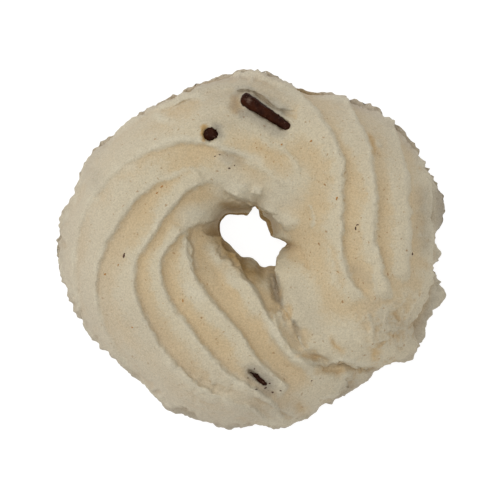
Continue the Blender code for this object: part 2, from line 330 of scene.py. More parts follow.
def ridgeHeight(places, turns, normal):
    lift = np.zeros(len(places))
    reach = ridgeShape["gentleReach"]
    for name, (height, downWall, steepSide, points) in ridges.items():
        turn, line, full = crestLine(points, downWall)
        low, high = line.min(axis=0) - reach, line.max(axis=0) + reach
        near = np.flatnonzero(within(places, low, high))
        spots, spotTurns = places[near], turns[near]
        nearest, along, outside = np.full(len(near), np.inf), np.zeros(len(near)), np.zeros(len(near), bool)
        for i in range(len(line) - 1):
            low, high = np.minimum(line[i], line[i + 1]) - reach, np.maximum(line[i], line[i + 1]) + reach
            some = np.flatnonzero(within(spots, low, high) & (np.abs(spotTurns - turn[i]) < ridgeShape["lapGuard"]))
            run = line[i + 1] - line[i]
            share = unit((spots[some] - line[i]) @ run / (run @ run))
            gap = spots[some] - line[i] - share[:, None] * run
            apart = np.linalg.norm(gap, axis=1)
            closer = apart < nearest[some]
            nearest[some[closer]], along[some[closer]] = apart[closer], i + share[closer]
            outside[some[closer]] = (gap * np.cross(run, normal[near[some]])).sum(axis=1)[closer] > 0
        distance = np.hypot(nearest, ridgeShape["edge"]) - ridgeShape["edge"]
        share = along / (len(line) - 1)
        first = ridgeShape["blunt"].get(name, ridgeShape["fade"])
        last = ridgeShape["bluntEnd"].get(name, ridgeShape["fade"])
        fade = unit(np.minimum(share / first, (1 - share) / last))
        strength = height * full[along.astype(int)] * eased(fade)
        gentle = unit(1 - distance / reach) ** ridgeShape["gentlePower"]
        steep = unit(1 - distance / ridgeShape["steepReach"]) ** ridgeShape["steepPower"]
        lift[near] += strength * np.where(outside == (steepSide == "inner"), gentle, steep)
    return lift


def ropeSurface(turn, around):
    smooth = ropePoint(turn, around)
    along = ropePoint(turn - 0.5, around) - ropePoint(turn + 0.5, around)
    across = ropePoint(turn, around + 0.5) - ropePoint(turn, around - 0.5)
    normal = np.cross(across, along)
    normal /= np.linalg.norm(normal, axis=1, keepdims=True) + 1e-12
    size, depth = rope["crumble"]
    right = unit(np.cos(np.radians(turn - rope["tearRightAt"])) * 2 - 0.6)[:, None]
    uneven = wander(smooth, *rope["tear"]) + grains(smooth, size, 3) * depth
    uneven = smooth + uneven * (1 + rope["tearRight"] * right)
    lift = ridgeHeight(uneven, turn, normal)[:, None]
    upright = unit((normal[:, 2:] - rope["uprightFrom"]) / rope["uprightOver"])
    lifted = (normal * (1 - upright) + [0, 0, 1] * upright) * lift
    lapped = unit((rope["lapFrom"] - turn) / rope["lapBlend"])
    torn = unit((rope["tornFrom"] - turn) / rope["tornBlend"])
    most, fall, least = rope["calmTop"]  # the tatter fades over the top of the rope
    side = np.clip(most - fall * np.sin(np.radians(around)), least, 1)
    tattered = wander(smooth, *rope["tatter"]) * (lapped * np.maximum(side, torn))[:, None]
    return smooth + lifted + wander(smooth, *rope["lump"]) + tattered


def spunRope():
    deselectAll()
    bpy.ops.mesh.primitive_circle_add(
        vertices=rope["sides"], radius=mm, location=(rope["spinRadius"] * mm, 0, 0), enter_editmode=True
    )
    piece = bpy.context.object
    piece.name = "dough"
    selectInMesh("SELECT")
    turns = rope["start"] - rope["end"]
    bpy.ops.mesh.spin(
        steps=rope["steps"], angle=math.radians(turns * rope["spinShare"]), center=(0, 0, 0), axis=(0, -1, 0)
    )
    closeEnds()
    bpy.ops.mesh.subdivide(number_cuts=rope["cuts"])
    switchTo("OBJECT")
    bpy.ops.object.transform_apply(location=True, rotation=True, scale=True)
    x, y, z = readPlaces(piece).T
    spun = np.degrees(np.arctan2(-z, x)) % 360
    around = np.degrees(np.arctan2(y, np.hypot(x, z) - rope["spinRadius"]))
    writePlaces(piece, ropeSurface(rope["start"] - spun / rope["spinShare"], around))
    return piece


keptShare = 0.3  # of its own value that a point keeps in each round


def neighbourMean(piece, values, rounds):
    ends = np.zeros(len(piece.data.edges) * 2, np.int32)
    piece.data.edges.foreach_get("vertices", ends)
    a, b = ends.reshape(-1, 2).T
    count = np.bincount(a, minlength=len(values)) + np.bincount(b, minlength=len(values))
    for _ in range(rounds):
        total = [np.bincount(a, v[b], len(values)) + np.bincount(b, v[a], len(values)) for v in values.T]
        values = values * keptShare + (1 - keptShare) * np.stack(total, axis=1) / np.maximum(count, 1)[:, None]
    return values


def reliefOf(piece, rounds):  # how far each point stands out of the surface around it, in mm
    places = readPlaces(piece)
    normal = readVectors(piece.data.vertices, "normal")
    return ((places - neighbourMean(piece, places, rounds)) * normal).sum(axis=1)


def keepMainShell(piece):  # drops the small bubbles that the remesh closes off inside, and folded faces
    deselectAll()
    bpy.context.view_layer.objects.active = piece
    switchTo("EDIT")
    bpy.ops.mesh.select_mode(type="VERT")
    selectInMesh("DESELECT")
    switchTo("OBJECT")
    piece.data.vertices[int(np.argmax(readPlaces(piece)[:, 2]))].select = True  # the highest is on the dough's skin
    switchTo("EDIT")
    bpy.ops.mesh.select_linked()
    selectInMesh("INVERT")
    bpy.ops.mesh.delete(type="VERT")
    for _ in range(rope["mendRounds"]):
        selectInMesh("SELECT")
        bpy.ops.mesh.remove_doubles(threshold=rope["mendWithin"] * mm)
        selectInMesh("DESELECT")
        bpy.ops.mesh.select_non_manifold(extend=False)
        bpy.ops.mesh.edge_collapse()
    switchTo("OBJECT")


print(start, "spinning the rope")
dough = spunRope()
print(start, len(dough.data.vertices), "points in the rope")
applyModifier(dough, "REMESH", mode="VOXEL", voxel_size=rope["voxel"] * mm)
keepMainShell(dough)
print(start, len(dough.data.vertices), "points after the laps are fused")

places = readPlaces(dough)
places[:, 2] = np.maximum(places[:, 2], 0.0)
writePlaces(dough, places)

# marks worked into the top: height, width, how far the right side falls away and how wide, (x, y) in mm along each
marks = {
    "topLeftCrest": (0.35, 0.9, 0, 0, [(-13.9, 12.8), (-11.2, 14.3), (-8.5, 14.6), (-5.9, 14.3), (-3.2, 13.3),
        (-0.5, 12.5), (1.5, 11.7)]),
    "leftFold": (0.35, 0.8, 0, 0, [(-5.9, 9.0), (-6.9, 10.1), (-8.0, 11.2)]),
    "topBandEdge": (0.3, 0.9, -0.4, 1.2, [(-12.4, 18.6), (-10.1, 19.1), (-8.3, 20.0), (-6.0, 20.1)]),
    "topBandBlob": (0.35, 0.9, 0, 0, [(-12.4, 17.6), (-10.4, 17.1)]),
    "holeTopLip": (0.15, 0.7, -1.1, 1.0, [(-3.7, 8.4), (-2.3, 7.3), (-1.3, 6.85), (0.1, 6.5), (1.3, 5.8), (2.4, 5.0),
        (4.0, 4.5)]),
    "holeTopFill": (0.8, 1.5, 0, 0, [(0.2, 7.7), (1.7, 7.2)]),
    "holeFold": (0.3, 0.8, 0, 0, [(7.8, 6.4), (8.6, 4.4), (8.4, 2.6)]),
    "troughBack": (-0.7, 0.9, 0, 0, [(-1.4, 20.8), (0.4, 20.6), (1.9, 19.6), (3.1, 18.7)]),
    "strandFold": (0.35, 0.8, -0.65, 1.0, [(-2.2, 20.7), (-1.2, 21.3), (0.7, 21.1), (2.2, 20.1), (3.4, 19.1),
        (5.3, 18.5), (6.6, 18.9)]),
    "troughLip": (0.3, 0.8, 0, 0, [(3.2, 19.8), (4.6, 19.0), (5.8, 18.1)]),
    "innerCrest": (0.28, 1.0, 0, 0, [(1.3, 15.5), (2.4, 14.1), (4.4, 13.3), (6.1, 11.6), (6.9, 9.7)]),
    "innerFold": (0.28, 1.0, 0, 0, [(-1.2, 11.9), (1.0, 11.1), (3.3, 9.7), (5.5, 8.0)]),
    "rightScoop": (-0.55, 0.8, 0, 0, [(16.0, 15.4), (16.2, 14.2), (16.8, 13.0), (17.5, 12.2)]),
    "rightScoopLump": (0.35, 0.9, 0, 0, [(17.1, 14.8), (17.4, 13.6)]),
    "leftCrestBlob": (0.38, 1.1, 0, 0, [(-10.5, -14.6), (-9.7, -15.6)]),
    "lowerCrestBlob": (0.3, 1.1, 0, 0, [(-4.2, -14.4), (-3.0, -15.3)]),
    "lowerRoughCrest": (0.4, 1.0, 0, 0, [(-9.3, -16.2), (-5.9, -18.4), (-3.4, -19.3), (-1.2, -19.9)]),
    "lowerEdgeCrest": (0.4, 1.0, 0, 0, [(-12.6, -18.6), (-10.4, -20.1), (-8.1, -21.4), (-5.9, -22.3)]),
    "fin": (0.9, 1.2, -1.1, 1.3, [(-7.2, -3.0), (-7.4, -1.3), (-7.7, 0.9), (-8.6, 1.9)]),
    "rimScallops": (0.1, 0.6, -1.0, 1.4, [(0.6, -5.0), (0.0, -4.1), (-0.6, -4.0), (-0.9, -3.4), (-1.2, -2.5),
        (-2.1, -1.8), (-2.3, -1.3), (-3.3, -1.0), (-3.9, -0.5), (-4.1, 0.6), (-4.7, 1.3)]),
    "holeCrease": (-0.35, 0.6, 0, 0, [(4.9, 1.0), (6.0, 0.3), (6.8, 0.3)]),
    "lobeCrease": (-0.35, 0.7, 0, 0, [(6.7, 0.6), (6.9, -0.7), (7.6, -1.7), (8.0, -2.8)]),
    "lobeDip": (-0.6, 1.1, 0, 0, [(3.5, -4.4), (3.8, -6.0), (4.3, -7.3)]),
    "finger": (0.4, 1.0, 0, 0, [(0.7, -14.8), (2.9, -16.1), (5.0, -18.0)]),
    "lowerFanA": (0.5, 1.0, -0.7, 0.9, [(-0.9, -20.2), (0.7, -21.4), (2.1, -22.6), (3.4, -23.9)]),
    "lowerFanB": (0.5, 1.0, -0.7, 0.9, [(0.1, -19.1), (2.2, -20.1), (3.7, -21.0), (5.7, -22.1), (6.6, -22.4)]),
    "fanDip": (-0.5, 1.2, 0, 0, [(6.2, -20.2), (6.9, -21.0), (7.5, -21.6)]),
    "strandLump": (0.4, 0.8, 0, 0, [(3.2, 19.0), (4.4, 18.0)]),
    "slopeRidgeA": (0.45, 0.9, 0, 0, [(24.0, -4.2), (22.0, -7.4), (20.3, -9.7), (18.4, -12.0), (16.9, -13.8)]),
    "slopeRidgeB": (0.35, 0.8, 0, 0, [(18.4, -7.3), (18.0, -9.3), (16.9, -11.6)]),
    "slopeRidgeC": (0.3, 0.8, 0, 0, [(15.6, -7.7), (16.2, -10.5), (16.4, -13.6)]),
    "slopePit": (-0.4, 0.6, 0, 0, [(19.2, -8.2), (19.9, -9.6)]),
    "slopeFold": (-0.4, 0.6, 0, 0, [(19.6, -11.2), (17.9, -12.3), (16.8, -12.9)]),
    "sideLip": (0.1, 0.8, -0.5, 0.8, [(3.0, -1.8), (3.2, -4.7), (4.3, -7.3), (5.6, -9.3), (6.3, -11.3), (7.2, -13.3)]),
    "creviceBelow": (-0.6, 0.6, 0, 0, [(5.8, -9.2), (6.2, -10.4), (6.7, -11.6)]),
    "troughFill": (1.0, 1.8, 0, 0, [(5.0, -8.8), (6.1, -10.8), (7.0, -12.5), (8.3, -13.9)]),
    "lapFill": (2.0, 2.2, 0, 0, [(3.0, -7.2), (3.5, -9.4), (4.4, -11.6), (5.7, -13.3), (7.6, -14.9), (10.2, -16.2)]),
    "flapRidge": (0.8, 1.5, 0, 0, [(2.4, -9.4), (3.4, -11.6), (4.8, -13.4), (6.6, -14.8), (8.6, -15.4)]),
    "foldAbove": (0.5, 0.9, 0, 0, [(3.9, -8.0), (4.4, -9.0), (4.8, -10.2)]),
    "lipCreaseLeft": (-0.25, 0.5, 0, 0, [(6.6, -14.0), (7.8, -14.1), (9.3, -14.1)]),
    "frontLip": (0.35, 0.8, -1.0, 0.8, [(6.8, -14.8), (8.2, -15.0), (9.4, -15.2), (11.0, -15.2), (12.4, -14.8),
        (13.7, -15.1), (15.7, -15.7), (17.5, -15.2)]),
    "underLip": (-0.5, 0.7, 0, 0, [(9.6, -15.9), (11.0, -16.0), (12.4, -15.9)]),
    "flapEdge": (0.7, 0.8, -1.5, 2.2, [(9.2, -20.1), (11.9, -19.1), (13.1, -17.9), (12.8, -16.8)]),
    "orangeCrease": (-0.25, 0.6, 0, 0, [(10.9, -11.8), (11.5, -12.7), (12.3, -13.4)]),
}
markShape = {
    "samples": 40, "fade": 0.18, "raggedSize": 0.8, "raggedDepth": 0.16, "facingUp": 0.3,
    "power": 2, "dropPower": 1.4, "stepEdge": 0.24, "stepLip": 0.4,
    "wobble": {"holeTopLip": 0.2, "rimScallops": 0.3, "frontLip": 0.35, "flapEdge": 0.25},
    "blunt": {"finger": 0.03, "flapRidge": 0.1},
}


def besideLine(spots, points):  # distance, share along, and side (+1 on the left) of each spot by a smooth line
    knots = np.array(points, float)
    run = np.concatenate([[0], np.cumsum(np.linalg.norm(np.diff(knots, axis=0), axis=1))])
    fine = np.linspace(0, run[-1], markShape["samples"])
    line = np.stack([curveThrough(list(zip(run, knots[:, i])), fine) for i in (0, 1)], axis=1)
    nearest, along, side = np.full(len(spots), np.inf), np.zeros(len(spots)), np.ones(len(spots))
    for i in range(len(line) - 1):
        step = line[i + 1] - line[i]
        gap = spots - line[i]
        share = unit(gap @ step / (step @ step))
        apart = np.linalg.norm(gap - share[:, None] * step, axis=1)
        closer = apart < nearest
        nearest[closer], along[closer] = apart[closer], i + share[closer]
        side[closer] = np.sign(step[0] * gap[closer, 1] - step[1] * gap[closer, 0])
    return nearest, along / (len(line) - 1), side


def spotsNear(spots, points, reach):
    low, high = np.min(points, axis=0) - reach, np.max(points, axis=0) + reach
    return np.flatnonzero(within(spots, low, high))


def markLift(places):
    lift = np.zeros(len(places))
    ragged = grains(places, markShape["raggedSize"], 5)[:, :2]
    for name, (height, width, drop, dropWidth, line) in marks.items():
        spots = places[:, :2] + ragged * markShape["wobble"].get(name, markShape["raggedDepth"])
        near = spotsNear(spots, line, max(width, dropWidth))
        distance, share, side = besideLine(spots[near], line)
        last = markShape["blunt"].get(name, markShape["fade"])
        fade = unit(np.minimum(share / markShape["fade"], (1 - share) / last))
        rise = height * unit(1 - distance / width) ** markShape["power"]
        if drop:
            fall = drop * unit(1 - distance / dropWidth) ** markShape["dropPower"]
            edge = unit(0.5 + distance * np.where(side > 0, 1, -1) / markShape["stepEdge"])
            rise = rise * unit(edge + markShape["stepLip"]) + fall * (1 - edge)
        lift[near] += rise * eased(fade)
    return lift


print(start, "working the marks in")
normal = readVectors(dough.data.vertices, "normal")
places[:, 2] += markLift(places) * unit(normal[:, 2] / markShape["facingUp"])
writePlaces(dough, places)

# lower rims that stand out under the wall: (turn, radius) of the wall's edge above each, in degrees and mm
ledges = {
    "right": [(29.6, 24.8), (19.3, 24.9), (11.8, 24.3), (5.5, 23.8), (-0.2, 24.2), (-4.7, 24.1), (-11.1, 24.6),
              (-17.2, 24.6), (-22.6, 24.3), (-27.6, 24.0), (-33, 23.7)],
    "top": [(79, 21.2), (72, 20.6), (65, 20.6)],
    "lowerLeft": [(243.5, 24.1), (249, 24.4), (255, 24.6)],
}
ledgeShape = {
    "from": 1.7, "to": 3.4, "fade": 5.0, "ragged": 0.5, "raggedSize": 1.2, "raggedMean": 0.3, "raggedRise": 0.3,
}


def acrossRope(places):  # turn, radius, outward direction, and -1 to 1 from the rope's inner to its outer edge
    x, y = places[:, 0] - rope["centre"][0], places[:, 1] - rope["centre"][1]
    radius = np.hypot(x, y)
    turn = np.degrees(np.arctan2(y, x))
    turn = np.where(turn < rope["seam"], turn + 360, turn)
    middle, half, _, _, _ = ropeSize(turn)
    outward = np.stack([x, y, np.zeros(len(x))], axis=1) / (radius[:, None] + 1e-9)
    return turn, radius, outward, (radius - middle) / half


def ledgeStep(places):  # how far the wall above each lower rim goes in
    turn, radius, outward, _ = acrossRope(places)
    high = unit((places[:, 2] - ledgeShape["from"]) / (ledgeShape["to"] - ledgeShape["from"]))
    jagged = np.abs(grain(places * [1, 1, ledgeShape["raggedRise"]], ledgeShape["raggedSize"], 19))
    jagged = ledgeShape["raggedMean"] - jagged
    step = np.zeros(len(places))
    for edge in ledges.values():
        low, top = min(edge)[0], max(edge)[0]
        fade = unit(np.minimum(turn - low, top - turn) / ledgeShape["fade"])
        limit = curveThrough(edge, np.clip(turn, low, top)) + jagged * ledgeShape["ragged"]
        step += np.maximum(radius - limit, 0) * high * fade
    return -outward * step[:, None]


places += ledgeStep(places)
writePlaces(dough, places)

# chocolate strands, in mm: sunk is how far the middle of each lies below the top; the dough hugs the first two, and
# a slit opens over the last
strands = {
    # the long strand also holds the (x, y) in mm of a pale glint painted on its top
    "long": {"spot": (2.27, 18.15), "length": 7.75, "diameter": 1.86, "taper": 0.40, "heading": -33.5, "tilt": 2.0,
             "sunk": 0.15, "uneven": 0.07, "seed": 21, "paintedGlint": (-0.05, 19.75)},
    "upright": {"spot": (-5.05, 15.35), "length": 3.4, "diameter": 1.9, "taper": 0.05, "heading": 20.0, "tilt": 84.0,
                "sunk": 1.55, "uneven": 0.5, "seed": 22},
    "buried": {"spot": (1.35, -17.05), "length": 4.4, "diameter": 1.6, "taper": 0.1, "heading": -40.0, "tilt": 3.0,
               "sunk": 1.45, "uneven": 0.12, "slit": (1.0, 0.22), "seed": 23},
}
beds = {
    "collar": 0.5, "depth": 0.45, "steep": 7.0, "ragged": 0.12, "raggedSize": 0.5, "slitRaggedSize": 0.4,
    "slitReach": 1.2, "topFrom": 4, "fit": 0.96, "standing": 45, "rimBelow": 0.1,
}


def topOf(piece, spot):
    bpy.context.view_layer.update()
    found, place, _, _ = piece.ray_cast(Vector((spot[0], spot[1], 40)) * mm, Vector((0, 0, -1)))
    return place.z / mm if found else 0.0


def strandAxis(strand):
    flat = math.cos(math.radians(strand["tilt"]))
    heading = math.radians(strand["heading"])
    return np.array([math.cos(heading) * flat, math.sin(heading) * flat, math.sin(math.radians(strand["tilt"]))])


for strand in strands.values():
    strand["middle"] = np.array([*strand["spot"], topOf(dough, strand["spot"]) - strand["sunk"]])

print(start, "pressing the strands' beds")
for strand in strands.values():
    axis, radius = strandAxis(strand), strand["diameter"] / 2
    middle, half = strand["middle"], max(strand["length"] / 2 - radius, 0.01)
    gap = places - middle
    share = gap[:, :2] @ axis[:2] / (axis[:2] @ axis[:2])
    shift = np.clip(share, -half, half)
    apart = np.linalg.norm(gap[:, :2] - shift[:, None] * axis[:2], axis=1)
    apart = apart + grain(places, beds["raggedSize"], strand["seed"]) * beds["ragged"]
    if "slit" in strand:
        length, width = strand["slit"]
        apart = np.hypot(share * width / length, np.linalg.norm(gap[:, :2] - share[:, None] * axis[:2], axis=1))
        apart += grain(places, beds["slitRaggedSize"], strand["seed"]) * beds["ragged"]
        floorAt = middle[2] + np.maximum(apart - width, 0) * beds["steep"]
        bed = (apart < width + beds["slitReach"]) & (places[:, 2] > floorAt) & (places[:, 2] > beds["topFrom"])
        places[bed, 2] = floorAt[bed]
        continue
    edge = radius * (1 - strand["taper"] * (shift / half + 1) / 2)
    standing = strand["tilt"] > beds["standing"]
    rim = topOf(dough, strand["spot"]) - beds["rimBelow"] if standing else middle[2] + shift * axis[2]
    blend = unit(1 - (apart - edge) / beds["collar"]) ** 2 * (places[:, 2] > beds["topFrom"])
    hugged = places[:, 2] + (rim - places[:, 2]) * blend
    inside = (apart < edge * beds["fit"]) & (places[:, 2] > beds["topFrom"])
    places[:, 2] = np.where(inside, rim - beds["depth"], hugged)
writePlaces(dough, places)

# the baked crumb, in mm: fine uneven grain, torn crests and a crumbly wall that shows as a serrated outline
skin = {
    "grainSize": 0.55, "grainDepth": 0.042, "fineSize": 0.3, "fineDepth": 0.04,
    "tornSize": 0.7, "tornDepth": 0.15,
    "pleatSize": 1.5, "pleatDepth": 0.5, "pleatRise": 0.18, "wallSize": 0.7, "wallDepth": 0.2,
    "pleatMean": 0.22, "patchSize": 4.5, "patches": (1.3, 1.6, 0.4, 2.2), "footTuck": 0.4, "footHeight": 1.2,
    "wallFrom": (0.8, 0.2), "holeFrom": (0.7, 0.3), "holeShare": 0.25, "highFrom": 5, "steepOnly": (1.35, 1.5),
    "calmBelow": 0.5, "crestRounds": 40, "crestFull": 0.25,
    "poreSize": 0.5, "poreDepth": 0.10, "lumpSizes": (1.9, 1.0, 0.5), "lumpShares": (0.9, 0.6, 0.4), "lumpMean": 0.25,
    "rough": {  # spots with a rougher crumb: x, y, radius, depth
        "outerSlope": (19.5, -10.7, 5.0, 0.42), "startFlap": (11.5, -18.0, 4.0, 0.2),
        "lowerCrest": (-5.0, -18.6, 4.0, 0.3), "lapFolds": (5.2, -11.0, 2.5, 0.06),
        "rightRim": (24.0, 3.0, 4.5, 0.16), "frontEdge": (13.0, -15.0, 3.5, 0.2), "leftPatch": (-20.3, 7.2, 1.2, 0.2),
    },
}


def crumble(places, normal, crest):
    above = unit(places[:, 2] / skin["calmBelow"])
    bump = grain(places, skin["grainSize"], 11) * skin["grainDepth"]
    bump += grain(places, skin["fineSize"], 12) * skin["fineDepth"]
    sizes, shares = skin["lumpSizes"], skin["lumpShares"]
    lumps = shares[0] * np.abs(grain(places, sizes[0], 17)) + shares[1] * grain(places, sizes[1], 27) - skin["lumpMean"]
    lumps += shares[2] * grain(places, sizes[2], 18)
    for x, y, radius, depth in skin["rough"].values():
        near = unit(1.3 - np.hypot(places[:, 0] - x, places[:, 1] - y) / radius)
        bump += lumps * depth * near
    torn = grains(places, skin["tornSize"], 13) * skin["tornDepth"] * crest[:, None]
    _, _, outward, across = acrossRope(places)
    (wallAt, wallOver), (holeAt, holeOver) = skin["wallFrom"], skin["holeFrom"]
    wall = unit((across - wallAt) / wallOver) + skin["holeShare"] * unit((-across - holeAt) / holeOver)
    most, fall = skin["steepOnly"]
    wall = np.where(places[:, 2] > skin["highFrom"], wall * unit(most - fall * normal[:, 2]), wall)
    pleated = skin["pleatMean"] - np.abs(grain(places * [1, 1, skin["pleatRise"]], skin["pleatSize"], 14))
    mean, swing, least, most = skin["patches"]
    patches = np.clip(mean + swing * grain(places * [1, 1, 0.2], skin["patchSize"], 20), least, most)
    pleated *= skin["pleatDepth"] * patches
    pleated += grain(places * [1, 1, 0.5], skin["wallSize"], 15) * skin["wallDepth"]
    pleated -= skin["footTuck"] * unit(1 - places[:, 2] / skin["footHeight"]) ** 1.5
    pores = np.abs(grain(places, skin["poreSize"], 16)) ** 2 * skin["poreDepth"] * 4
    pleated *= wall * np.sign(across)
    moved = places + (normal * bump[:, None] + torn) * above[:, None] + outward * pleated[:, None]
    moved[:, 2] += pores * unit(-normal[:, 2] * 2 - 1) * (1 - above)
    moved[:, 2] = np.maximum(moved[:, 2], 0.0)
    return moved


print(start, "roughening the crumb")
normal = readVectors(dough.data.vertices, "normal")
places = crumble(places, normal, unit(reliefOf(dough, skin["crestRounds"]) / skin["crestFull"]))
writePlaces(dough, places)

triangles = sum(len(face.vertices) - 2 for face in dough.data.polygons)
applyModifier(dough, "DECIMATE", ratio=min(1.0, rope["triangles"] / triangles))
keepMainShell(dough)
print(start, sum(len(face.vertices) - 2 for face in dough.data.polygons), "triangles in the dough")
deselectAll()
dough.select_set(True)
bpy.context.view_layer.objects.active = dough
bpy.ops.object.shade_smooth()

